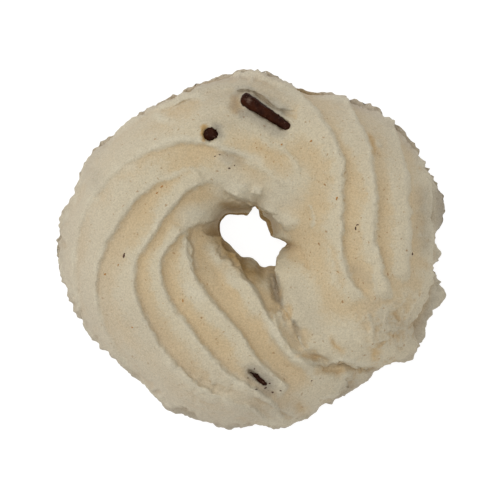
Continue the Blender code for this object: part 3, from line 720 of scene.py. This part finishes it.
# where the baked dough changes colour, and where shade and light are painted into it: radius, strength and (x, y) in mm
# along each stain, by kind
stains = {
    "greyStainAndPaintedShade": {
        # grey darkening, mostly painted shade: behind the upright, round the long strand, in the crevices by the hole
        # and lap, in the slit over the buried strand, along the east rim and over the slopes named Shade; topPatch and
        # buriedHalo are grey patches in the dough itself
        "nearUpright": (1.0, 0.8, [(-4.3, 16.3), (-4.0, 15.2)]),
        "topPatch": (1.3, 0.45, [(-2.9, 12.4), (-1.6, 11.8)]),
        "strandRing": (1.3, 0.6, [(-2.0, 19.0), (-1.7, 20.6), (0.2, 21.2)]),
        "strandBack": (1.6, 0.6, [(0.4, 20.5), (2.4, 19.7), (4.2, 18.4)]),
        "strandFoot": (1.3, 0.65, [(-1.4, 18.4), (1.0, 17.2), (3.8, 15.7)]),
        "holeSide": (0.75, 0.75, [(3.2, -3.5), (3.5, -5.0), (3.9, -6.6), (4.3, -7.3)]),
        "sideCrevice": (0.6, 0.55, [(5.9, -9.4), (6.4, -10.6), (6.7, -11.4)]),
        "buriedHalo": (1.7, 0.8, [(0.5, -16.2), (1.4, -17.0), (2.4, -18.1)]),
        "buriedCore": (0.8, 1.3, [(0.8, -16.6), (1.9, -17.5)]),
        "slopeShade": (3.4, 0.25, [(17.0, -8.5), (20.5, -10.5)]),
        "fanShade": (2.6, 0.22, [(0.5, -20.8), (5.0, -20.4)]),
        "rightPlank": (1.3, 0.25, [(14.0, -2.6), (15.6, -4.0)]),
        "lowerRim": (1.2, 0.35, [(25.8, 8.0), (25.9, 2.0)]),
        "lowerRimEnd": (1.2, 0.1, [(25.6, -4.5), (24.0, -9.5)]),
        "rightEdgeShade": (1.6, 0.36, [(23.2, 7.5), (23.3, 0.5)]),
        "topShade": (2.8, 0.22, [(-5.5, 20.6), (4.0, 20.6)]),
        "bandShade": (2.0, 0.22, [(-5.0, 16.8), (-1.5, 16.9), (3.6, 16.3)]),
        "lapShade": (2.4, 0.2, [(6.2, -5.5), (7.6, -8.5), (8.4, -10.0)]),
        "lowerLeftShade": (3.0, 0.12, [(-12.3, -11.6), (-14.0, -9.0)]),
        "leftShade": (1.6, 0.2, [(-20.6, 10.0), (-20.2, 8.4)]),
        "besideFlap": (1.2, 0.3, [(14.0, -16.4), (12.9, -19.0)]),
    },
    "toasted": {
        "strandEnd": (0.9, 0.7, [(-1.9, 19.7), (-1.8, 18.6)]),
        # painted shadow under the front lip, in a toasted brown
        "underLip": (0.8, 0.45, [(9.0, -16.0), (10.8, -16.1), (12.4, -16.0)]),
        "nearUprightToast": (0.4, 1.6, [(-5.9, 16.2), (-6.1, 15.4), (-5.9, 14.6)]),
        "rightLine": (0.5, 0.35, [(11.1, 0.3), (12.3, -4.7)]),
        "innerPatch": (1.3, 0.3, [(1.4, 13.6), (4.0, 11.8)]),
        "creaseLine": (0.7, 0.45, [(10.9, -11.8), (11.5, -12.7), (12.3, -13.4)]),
        "topFringe": (1.3, 0.3, [(-10.4, 18.2), (-7.6, 18.8)]),
        "slopePit": (0.6, 0.4, [(19.2, -8.3), (19.9, -9.6)]),
        "slopeSpot": (0.7, 0.6, [(16.6, -13.5), (16.7, -14.4)]),
        "slopeCrease": (0.4, 0.55, [(19.6, -11.1), (18.9, -11.5)]),
        "fanDip": (1.2, 0.3, [(6.2, -20.2), (7.3, -21.4)]),
        "innerHollow": (1.6, 0.35, [(3.3, 12.2), (4.6, 10.6)]),
        "creaseLeft": (0.45, 0.4, [(6.6, -14.0), (7.8, -14.1), (9.3, -14.1)]),
        "scoopLine": (0.55, 0.5, [(16.0, 15.2), (16.7, 13.1)]),
        "foldLine": (0.4, 0.6, [(5.1, -7.5), (5.5, -8.8)]),
    },
    "flouryAndPaintedLight": {
        # pale flour on crests, folds and lips, and painted light: holeTop, holeTopSide, plankHole, plank and lowRim
        # lighten slopes and the low rim that lie in shade
        "topCrest": (0.6, 0.9, [(-12.6, 13.7), (-11.2, 14.4), (-8.5, 14.7), (-5.9, 14.4), (-3.2, 13.4),
            (-0.5, 12.6), (1.5, 11.8)]),
        "plank": (1.0, 0.5, [(-5.2, 0.6), (-4.6, -1.0), (-3.2, -2.6), (-1.8, -4.2)]),
        "topBand": (0.7, 0.9, [(-10.1, 19.3), (-8.3, 20.2), (-6.0, 20.3)]),
        "topBlob": (0.9, 0.9, [(-12.6, 18.1), (-10.4, 17.2)]),
        "left": (1.0, 0.8, [(-17.6, 10.8), (-15.4, 11.1)]),
        "leftRidge": (0.9, 0.5, [(-20.6, 7.8), (-18.2, 9.4)]),
        "fin": (0.9, 0.6, [(-7.9, 0.9), (-7.5, -2.2)]),
        "plane": (1.1, 0.9, [(-8.0, -5.0), (-6.2, -6.2)]),
        "blob": (0.9, 0.9, [(-10.5, -14.6), (-9.7, -15.6)]),
        "crest": (1.3, 0.7, [(-8.6, -16.8), (-5.9, -18.4), (-3.4, -19.3), (-1.2, -19.9)]),
        "crumb": (0.9, 1.0, [(-2.1, -16.9), (-0.8, -17.6)]),
        "finger": (0.9, 0.7, [(1.9, -15.1), (4.4, -17.8)]),
        "flap": (1.2, 0.6, [(8.6, -16.8), (12.0, -16.6), (12.4, -18.2)]),
        "lip": (0.7, 0.8, [(3.4, 19.4), (5.6, 18.2)]),
        "rightRim": (0.6, 0.9, [(24.9, 9.4), (24.6, 6.6), (24.5, 3.9), (24.5, 1.2)]),
        "lipEdge": (0.6, 0.9, [(6.2, -14.4), (8.2, -14.7), (10.6, -14.9), (12.4, -14.5), (13.7, -14.8),
            (15.7, -15.4)]),
        "fold": (0.6, 0.8, [(4.0, -8.2), (4.5, -9.3), (5.0, -10.2)]),
        "lap": (2.6, 0.35, [(9.5, -11.0), (12.5, -10.5)]),
        "flapEdge": (0.45, 0.9, [(9.2, -20.0), (11.8, -19.0), (13.0, -17.9), (12.7, -16.8)]),
        "leftPatch": (0.6, 0.9, [(-20.4, 7.8), (-20.2, 6.7)]),
        "lump": (0.7, 0.8, [(3.2, 19.0), (4.4, 18.0)]),
        "arc": (0.5, 0.8, [(-2.0, 21.0), (-1.2, 21.5), (0.7, 21.4)]),
        "patchBlob": (0.9, 0.8, [(-3.9, 12.1), (-2.4, 11.6)]),
        "holeTop": (3.2, 1.1, [(-2.6, 8.6), (0.5, 7.5), (4.5, 6.8)]),
        "holeTopSide": (1.8, 1.1, [(2.6, 5.4), (5.0, 4.2)]),
        "plankHole": (2.0, 1.0, [(-8.0, 4.4), (-5.0, 4.9), (-3.4, 5.6)]),
        "flapRidge": (0.9, 0.8, [(2.4, -9.4), (3.4, -11.6), (4.8, -13.4), (6.6, -14.8)]),
        "trough": (1.1, 0.55, [(4.6, -9.2), (6.2, -12.0), (8.2, -14.0)]),
        "lowRim": (1.1, 0.6, [(25.4, -6.0), (24.4, -8.8), (22.8, -11.6)]),
    },
    "brownedAndPaintedShade": {
        "uprightScorch": (0.3, 1.8, [(-5.85, 16.1), (-6.0, 15.4), (-5.85, 14.7)]),
        # the hole's west and top walls, which face away from the light: partly browner baked dough, partly painted
        # shade
        "holeWallLeft": (1.5, 1.1, [(-4.4, 2.2), (-3.6, 1.3), (-2.9, 0.0), (-1.9, -0.9), (-0.9, -1.8), (-0.1, -2.7),
            (0.9, -3.2)]),
        "holeWallTop": (0.9, 0.9, [(-3.4, 5.9), (-1.6, 5.6), (-0.2, 5.5)]),
    },
}
crests = {
    "radius": 0.5, "strength": 0.75, "patchSize": 2.4, "mean": 0.75, "least": 0.2, "fade": 0.1,
    "rounds": 90, "full": 0.2,
}
zones = {
    "stainPower": 0.8, "ragged": (0.9, 0.35), "outerFrom": 15.0, "outerOver": 9.0, "outerEast": 0.75,
    "lowFrom": 2.0, "lowOver": 4.0, "footFrom": 0.82, "footOver": 0.1, "underTo": 0.95,
    "holeFrom": 8.0, "holeOver": 4.0, "holeTop": 8.5, "holeDepth": 3.5, "holeShare": 0.4, "lowLeast": 0.6,
}
sides = {  # of the ring: gain, angle in radians, and what is added
    "east": (1.6, 0.35, -0.4), "holeWest": (-1, 0, 0.3), "north": (1.6, -math.pi / 2, -0.3), "lowEast": (1.2, 0.8, 0.4),
}
places = readPlaces(dough)
normal = readVectors(dough.data.vertices, "normal")
shade = {kind: np.zeros(len(places)) for kind in stains}
spots = places[:, :2] + grains(places, zones["ragged"][0], 31)[:, :2] * zones["ragged"][1]
for kind, group in stains.items():
    for radius, strength, line in group.values():
        near = spotsNear(spots, line, radius)
        distance, _, _ = besideLine(spots[near], line)
        share = strength * unit(1 - distance / radius) ** zones["stainPower"]
        shade[kind][near] = np.maximum(shade[kind][near], share)
for height, downWall, _, points in ridges.values():  # dry pale flour shows along the crests
    line = crestLine(points, downWall)[1][:, :2]
    near = spotsNear(spots, line, crests["radius"])
    distance, share, _ = besideLine(spots[near], line)
    band = unit((1 - distance / crests["radius"]) * 2) * unit(np.minimum(share, 1 - share) / crests["fade"])
    patches = np.clip(crests["mean"] + grain(places[near], crests["patchSize"], 33), crests["least"], 1)
    shade["flouryAndPaintedLight"][near] = np.maximum(shade["flouryAndPaintedLight"][near], crests["strength"] * band * patches * (height > 0))
_, fromCentre, _, across = acrossRope(places)
angle = np.arctan2(places[:, 1], places[:, 0])
facing = {  # how far a spot lies on one side of the ring
    name: unit(np.cos(angle + turned) * gain + more) for name, (gain, turned, more) in sides.items()
}
greyer = unit((fromCentre - zones["outerFrom"]) / zones["outerOver"])
greyer = greyer * (1 - zones["outerEast"] * facing["east"])
low = unit(1 - (places[:, 2] - zones["lowFrom"]) / zones["lowOver"])
low = low * unit((across - zones["footFrom"]) / zones["footOver"])
# the west side of the hole's wall, which faces away from the light, is painted browner: partly baked colour, partly
# painted shade
hole = unit((zones["holeFrom"] - fromCentre) / zones["holeOver"])
hole = hole * unit((zones["holeTop"] - places[:, 2]) / zones["holeDepth"]) * zones["holeShare"]
hole *= facing["holeWest"]
under = unit(-normal[:, 2] * 4 - 2) * unit((zones["underTo"] - across) / zones["footOver"])
setAttribute(dough, "crest", np.clip(reliefOf(dough, crests["rounds"]) / crests["full"], -1, 1))
shade["brownedAndPaintedShade"] = np.maximum(shade["brownedAndPaintedShade"], hole + under)
for kind, amount in shade.items():
    amount = amount if kind == "brownedAndPaintedShade" else amount * unit(normal[:, 2] * 3 + 1)
    setAttribute(dough, kind, unit(amount))
# the lower outer wall is painted darker and greyer, strongest on the east side that lies in shade: partly a greyer
# wall, partly painted shade
eastShadeShare = zones["lowLeast"] + (1 - zones["lowLeast"]) * facing["lowEast"]
setAttribute(dough, "greyLowWallAndShade", low * (1 - facing["north"]) * eastShadeShare)
# the north side of the lower wall, which lies in shade, is painted paler instead: painted light
setAttribute(dough, "northWallPaintedLight", low * facing["north"])
setAttribute(dough, "outer", greyer)


# toasted specks and short fibres, in mm: spacing, radius, softness; then strength
specks = ((2.3, 0.15, 0.07, 0.9), (1.0, 0.09, 0.06, 0.75), (0.62, 0.06, 0.05, 0.6))


def bakedDough():  # butter dough, piped and baked pale: dry, matt, sandy crumb, paler crests, browner underneath, with painted shade and painted light mixed in from its attributes
    material, shader, place = newMaterial("bakedButterDough", 0.85, 0.2)
    share = {
        name: addNode(material, "Attribute", {}, attribute_name=name).outputs["Fac"]
        for name in ("crest", "greyStainAndPaintedShade", "toasted", "flouryAndPaintedLight", "outer", "greyLowWallAndShade", "northWallPaintedLight", "brownedAndPaintedShade")
    }
    patchy = addNode(material, "TexNoise", {"Vector": place, "Scale": 0.28, "Detail": 2.0})
    level = addNode(material, "Math", {0: patchy.outputs["Fac"], 1: 1.2}, operation="MULTIPLY")
    level = addNode(material, "Math", {0: level.outputs[0], 1: share["crest"]}, operation="ADD")
    level = addNode(material, "MapRange", {"Value": level.outputs[0], "From Min": -0.3, "From Max": 1.5})
    tone = addNode(material, "ValToRGB", {"Fac": level.outputs["Result"]})
    stops = tone.color_ramp.elements
    stops[0].position, stops[0].color = 0.0, toLinear("#C9B38E")
    stops[1].position, stops[1].color = 1.0, toLinear("#CABEA3")
    middle = stops.new(0.5)
    middle.color = toLinear("#C8B593")
    colour = tone.outputs["Color"]

    warp = addNode(material, "TexNoise", {"Vector": place, "Scale": 1.6, "Detail": 3.0})
    warp = addNode(material, "VectorMath", {0: warp.outputs["Color"], 1: (0.9, 0.9, 0.9)}, operation="MULTIPLY")
    warped = addNode(material, "VectorMath", {0: place, 1: warp.outputs[0]}, operation="ADD").outputs[0]
    for spacing, radius, softness, strength in specks:
        cells = addNode(material, "TexVoronoi", {"Vector": warped, "Scale": 1 / spacing})
        speck = addNode(material, "MapRange", {
            "Value": cells.outputs["Distance"], "From Min": (radius + softness) / spacing,
            "From Max": (radius - softness) / spacing, "To Max": strength,
        })
        colour = addNode(material, "Mix", {
            0: speck.outputs["Result"], 6: colour, 7: toLinear("#946A38"),
        }, data_type="RGBA").outputs[2]
    # tints from the attributes: the dough's own greyer rim, pale flour and toasted, brown and grey stains, together
    # with painted shade on the lower wall, hole wall and crevices and painted light on the north wall and shaded slopes
    for name, strength, hexColour in (
        ("outer", 0.6, "#C0B5A2"), ("greyLowWallAndShade", 0.6, "#A69B8A"), ("northWallPaintedLight", 0.6, "#BDB1A0"),
        ("flouryAndPaintedLight", 0.8, "#CFC6AF"), ("toasted", 0.8, "#BE9657"), ("brownedAndPaintedShade", 0.8, "#9A7B48"),
        ("greyStainAndPaintedShade", 0.75, "#77726C"),
    ):
        amount = addNode(material, "Math", {0: share[name], 1: strength}, operation="MULTIPLY").outputs[0]
        colour = addNode(
            material, "Mix", {0: amount, 6: colour, 7: toLinear(hexColour)}, data_type="RGBA"
        ).outputs[2]
    sand = addNode(material, "TexNoise", {"Vector": place, "Scale": 4.6, "Detail": 4.0, "Roughness": 0.7})
    dark = addNode(material, "MapRange", {
        "Value": sand.outputs["Fac"], "From Min": 0.35, "From Max": 0.62, "To Min": 0.81, "To Max": 1.04,
    })
    colour = addNode(material, "Mix", {
        0: 1.0, 6: colour, 7: dark.outputs["Result"],
    }, data_type="RGBA", blend_type="MULTIPLY").outputs[2]
    bump = addNode(material, "Bump", {"Height": sand.outputs["Fac"], "Strength": 0.6, "Distance": 0.22 * mm})
    setInputs(material, shader, {"Base Color": colour, "Normal": bump.outputs["Normal"]})
    return material


dough.data.materials.append(bakedDough())
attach(dough, "root")
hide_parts("cookie")


def chocolate():  # dark compound chocolate, extruded into vermicelli and glazed: deep brown with a soft gloss, pale specks that are partly dust and partly painted glints, and a painted glint near one end
    material, shader, place = newMaterial("glazedDarkChocolate", 0.45, 0.05)
    patchy = addNode(material, "TexNoise", {"Vector": place, "Scale": 1.1, "Detail": 3.0})
    tone = addNode(material, "ValToRGB", {"Fac": patchy.outputs["Fac"]})
    stops = tone.color_ramp.elements
    stops[0].position, stops[0].color = 0.35, toLinear("#240E07")
    stops[1].position, stops[1].color = 0.68, toLinear("#37190B")
    dusty = addNode(material, "TexNoise", {"Vector": place, "Scale": 4.5, "Detail": 2.0})
    # pale specks: partly dust on the chocolate, partly painted glints
    dustAndGlints = addNode(material, "MapRange", {
        "Value": dusty.outputs["Fac"], "From Min": 0.64, "From Max": 0.74, "To Max": 0.3,
    })
    # a pale painted glint near the long strand's left end, mixed in with the specks
    paintedGlint = addNode(material, "Attribute", {}, attribute_name="paintedGlint")
    paintedGlint = addNode(material, "Math", {0: paintedGlint.outputs["Fac"], 1: dusty.outputs["Fac"]}, operation="MULTIPLY")
    dustAndGlints = addNode(material, "Math", {0: dustAndGlints.outputs["Result"], 1: paintedGlint.outputs[0]}, operation="MAXIMUM")
    colour = addNode(material, "Mix", {
        0: dustAndGlints.outputs[0], 6: tone.outputs["Color"], 7: toLinear("#8A7263"),
    }, data_type="RGBA").outputs[2]
    gloss = addNode(material, "MapRange", {
        "Value": dusty.outputs["Fac"], "From Min": 0.35, "From Max": 0.65, "To Min": 0.25, "To Max": 0.65,
    })
    bump = addNode(material, "Bump", {"Height": dusty.outputs["Fac"], "Strength": 0.7, "Distance": 0.15 * mm})
    setInputs(material, shader, {
        "Base Color": colour, "Roughness": gloss.outputs["Result"], "Normal": bump.outputs["Normal"],
    })
    return material


strandShape = {
    "rings": 46, "sides": 28, "tip": 0.75, "lumpSize": 0.9, "fineSize": 0.32, "fineDepth": 0.11,
    "glintRagged": (0.35, 0.3), "glintRadius": 0.36,
}


def makeStrand(name, strand, finish):
    deselectAll()
    radius, length = strand["diameter"] / 2, strand["length"]
    bpy.ops.mesh.primitive_circle_add(
        vertices=strandShape["sides"], radius=radius * mm, location=(0, 0, -length / 2 * mm), enter_editmode=True
    )
    rod = bpy.context.object
    rod.name = "strand_" + name
    selectInMesh("SELECT")
    rings = strandShape["rings"]
    for _ in range(rings):
        bpy.ops.mesh.extrude_region_move(TRANSFORM_OT_translate={"value": (0, 0, length / rings * mm)})
    closeEnds()
    switchTo("OBJECT")
    bpy.ops.object.transform_apply(location=True, rotation=True, scale=True)
    x, y, z = readPlaces(rod).T
    along = np.sin(z / (length / 2) * math.pi / 2)  # rings crowd towards the ends
    tip = unit((1 - np.abs(along)) * length / 2 / (strandShape["tip"] * radius))
    rounded = np.sqrt(unit(1 - (1 - tip) ** 2)) * 0.98 + 0.02
    width = rounded * (1 - strand["taper"] * (along + 1) / 2)
    shaped = np.stack([x * width, y * width, along * length / 2], axis=1)
    seed, fine = strand["seed"], strandShape["fineSize"]
    shaped += grains(shaped + seed, strandShape["lumpSize"], seed) * strand["uneven"] * [1, 1, 0.6]
    shaped += grains(shaped + seed, fine, seed + 1) * strandShape["fineDepth"]
    axis = Vector(strandAxis(strand))
    turned = axis.to_track_quat("Z", "Y").to_matrix()
    shaped = shaped @ np.array(turned).T + strand["middle"]
    writePlaces(rod, shaped)
    # a painted glint: a pale spot on the top of the strand, read by its finish
    size, depth = strandShape["glintRagged"]
    glintReach = np.hypot(*((shaped + grains(shaped, size, 51) * depth)[:, :2] - strand.get("paintedGlint", (0, 0))).T)
    glintReach = unit(1.3 - glintReach / strandShape["glintRadius"]) * (shaped[:, 2] > strand["middle"][2])
    setAttribute(rod, "paintedGlint", glintReach)
    bpy.ops.object.shade_smooth()
    rod.data.materials.append(finish)
    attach(rod, "root")
    return rod


print(start, "making the strands")
chocolateFinish = chocolate()
for name, strand in strands.items():
    makeStrand(name, strand, chocolateFinish)


# loose flakes baked onto the top, in mm: place, length, width, heading
flecks = {
    "dark": [
        ((14.1, 2.9), 0.75, 0.22, 80), ((14.3, 3.3), 0.4, 0.2, 20), ((-16.5, -0.7), 0.8, 0.26, 75),
        ((21.6, -0.4), 0.6, 0.22, 100), ((-2.6, 10.8), 0.35, 0.15, 10), ((-1.9, 11.2), 0.3, 0.15, 50),
        ((0.7, -15.7), 0.22, 0.16, 30), ((2.7, -17.6), 0.26, 0.18, -10), ((3.1, -18.8), 0.4, 0.22, -20),
        ((0.9, -18.4), 0.45, 0.14, 0), ((-0.1, -16.9), 0.3, 0.15, 0), ((4.2, -18.6), 0.35, 0.14, 10),
        ((2.2, -18.2), 0.35, 0.22, 40), ((0.3, -16.1), 0.3, 0.12, 30), ((8.3, -17.3), 0.25, 0.2, 0),
        ((-3.9, 12.6), 0.3, 0.14, -20), ((-4.5, 12.4), 0.3, 0.14, 10),
    ],
    "toasted": [
        ((-8.7, -6.7), 0.55, 0.22, 95), ((11.6, 6.8), 0.5, 0.3, 70), ((-11.5, 8.4), 0.6, 0.18, 40),
        ((-12.1, 7.6), 0.5, 0.16, 25), ((8.2, 14.4), 0.35, 0.2, 30), ((-19.0, -3.2), 0.35, 0.25, 20),
        ((-15.4, -10.2), 0.3, 0.22, 0), ((4.3, 13.9), 0.3, 0.25, 0), ((-17.3, -2.0), 0.35, 0.2, 50),
    ],
}
fleckShape = {"thickness": 0.16, "grainSize": 0.22, "grainDepth": 0.07, "curl": 0.3}


def makeFlecks(name, spots, hexColour):  # bran and chocolate crumbs: thin, bent, dull
    material, shader, place = newMaterial(name + "Flake", 0.7, 0.5)
    patchy = addNode(material, "TexNoise", {"Vector": place, "Scale": 3.0})
    tone = addNode(material, "ValToRGB", {"Fac": patchy.outputs["Fac"]})
    tone.color_ramp.elements[0].color = toLinear(hexColour[0])
    tone.color_ramp.elements[1].color = toLinear(hexColour[1])
    setInputs(material, shader, {"Base Color": tone.outputs["Color"]})
    made = []
    for i, (spot, length, width, heading) in enumerate(spots):
        deselectAll()
        middle = (spot[0], spot[1], topOf(dough, spot))
        bpy.ops.mesh.primitive_ico_sphere_add(
            subdivisions=3, radius=mm / 2, location=Vector(middle) * mm, rotation=(0, 0, math.radians(heading)),
            scale=(length, width, fleckShape["thickness"]),
        )
        flake = bpy.context.object
        bpy.ops.object.transform_apply(location=True, rotation=True, scale=True)
        shaped = readPlaces(flake)
        away = np.hypot(*(shaped[:, :2] - middle[:2]).T)
        shaped += grains(shaped, fleckShape["grainSize"], 41 + i) * fleckShape["grainDepth"]
        shaped -= np.outer(away**2 * fleckShape["curl"], [0, 0, 1])
        writePlaces(flake, shaped)
        bpy.ops.object.shade_smooth()
        made.append(flake)
    deselectAll()
    for flake in made:
        flake.select_set(True)
    bpy.context.view_layer.objects.active = made[0]
    bpy.ops.object.join()
    made[0].name = "flecks_" + name
    made[0].data.materials.append(material)
    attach(made[0], "root")


makeFlecks("dark", flecks["dark"], ("#1E120C", "#5A3520"))
makeFlecks("toasted", flecks["toasted"], ("#8A5A24", "#B98A4C"))

# studio: a softly lit white table, even dome, a broad light overhead and a weak one from the upper left

studio = {
    "floorSize": 3.0, "floorColour": "#7A7A7A", "floorGlow": 0.89, "dome": 0.62,
    "cameraHeight": 0.9, "cameraAside": 0.133, "sensor": 36, "frameWidth": 66.67, "planeHeight": 3.0,
    "lamps": {  # place, size and watts
        "overheadSoftbox": ((-0.2, 0.1, 1.2), 0.6, 4.6),
        "sideSoftbox": ((-0.58, 0.27, 0.36), 0.3, 1.05),
    },
}

deselectAll()
bpy.ops.mesh.primitive_plane_add(size=studio["floorSize"], location=(0, 0, 0))
floor = bpy.context.object
floor.name = "floor"
paper = bpy.data.materials.new("whitePaper")
paper.use_nodes = True
setInputs(paper, paper.node_tree.nodes["Principled BSDF"], {
    "Base Color": toLinear(studio["floorColour"]), "Roughness": 0.9, "Specular IOR Level": 0.1,
    "Emission Color": (1, 1, 1, 1), "Emission Strength": studio["floorGlow"],
})
floor.data.materials.append(paper)

world = bpy.data.worlds.new("studioDome")
world.use_nodes = True
setInputs(world, world.node_tree.nodes["Background"], {"Color": (1, 1, 1, 1), "Strength": studio["dome"]})
bpy.context.scene.world = world

for name, (place, size, watts) in studio["lamps"].items():
    bpy.ops.object.light_add(type="AREA", location=place)
    lamp = bpy.context.object
    lamp.name = name
    lamp.data.shape = "DISK"
    lamp.data.size = size
    lamp.data.energy = watts
    lamp.rotation_euler = (-lamp.location).to_track_quat("-Z", "Y").to_euler()

bpy.ops.object.camera_add(location=(studio["cameraAside"] * mm, 0, studio["cameraHeight"]), rotation=(0, 0, 0))
camera = bpy.context.object
camera.data.sensor_width = studio["sensor"]
distance = studio["cameraHeight"] - studio["planeHeight"] * mm
camera.data.lens = studio["sensor"] * distance / (studio["frameWidth"] * mm)
bpy.context.scene.camera = camera
bpy.context.scene.view_settings.view_transform = "Standard"

print(start, "done")
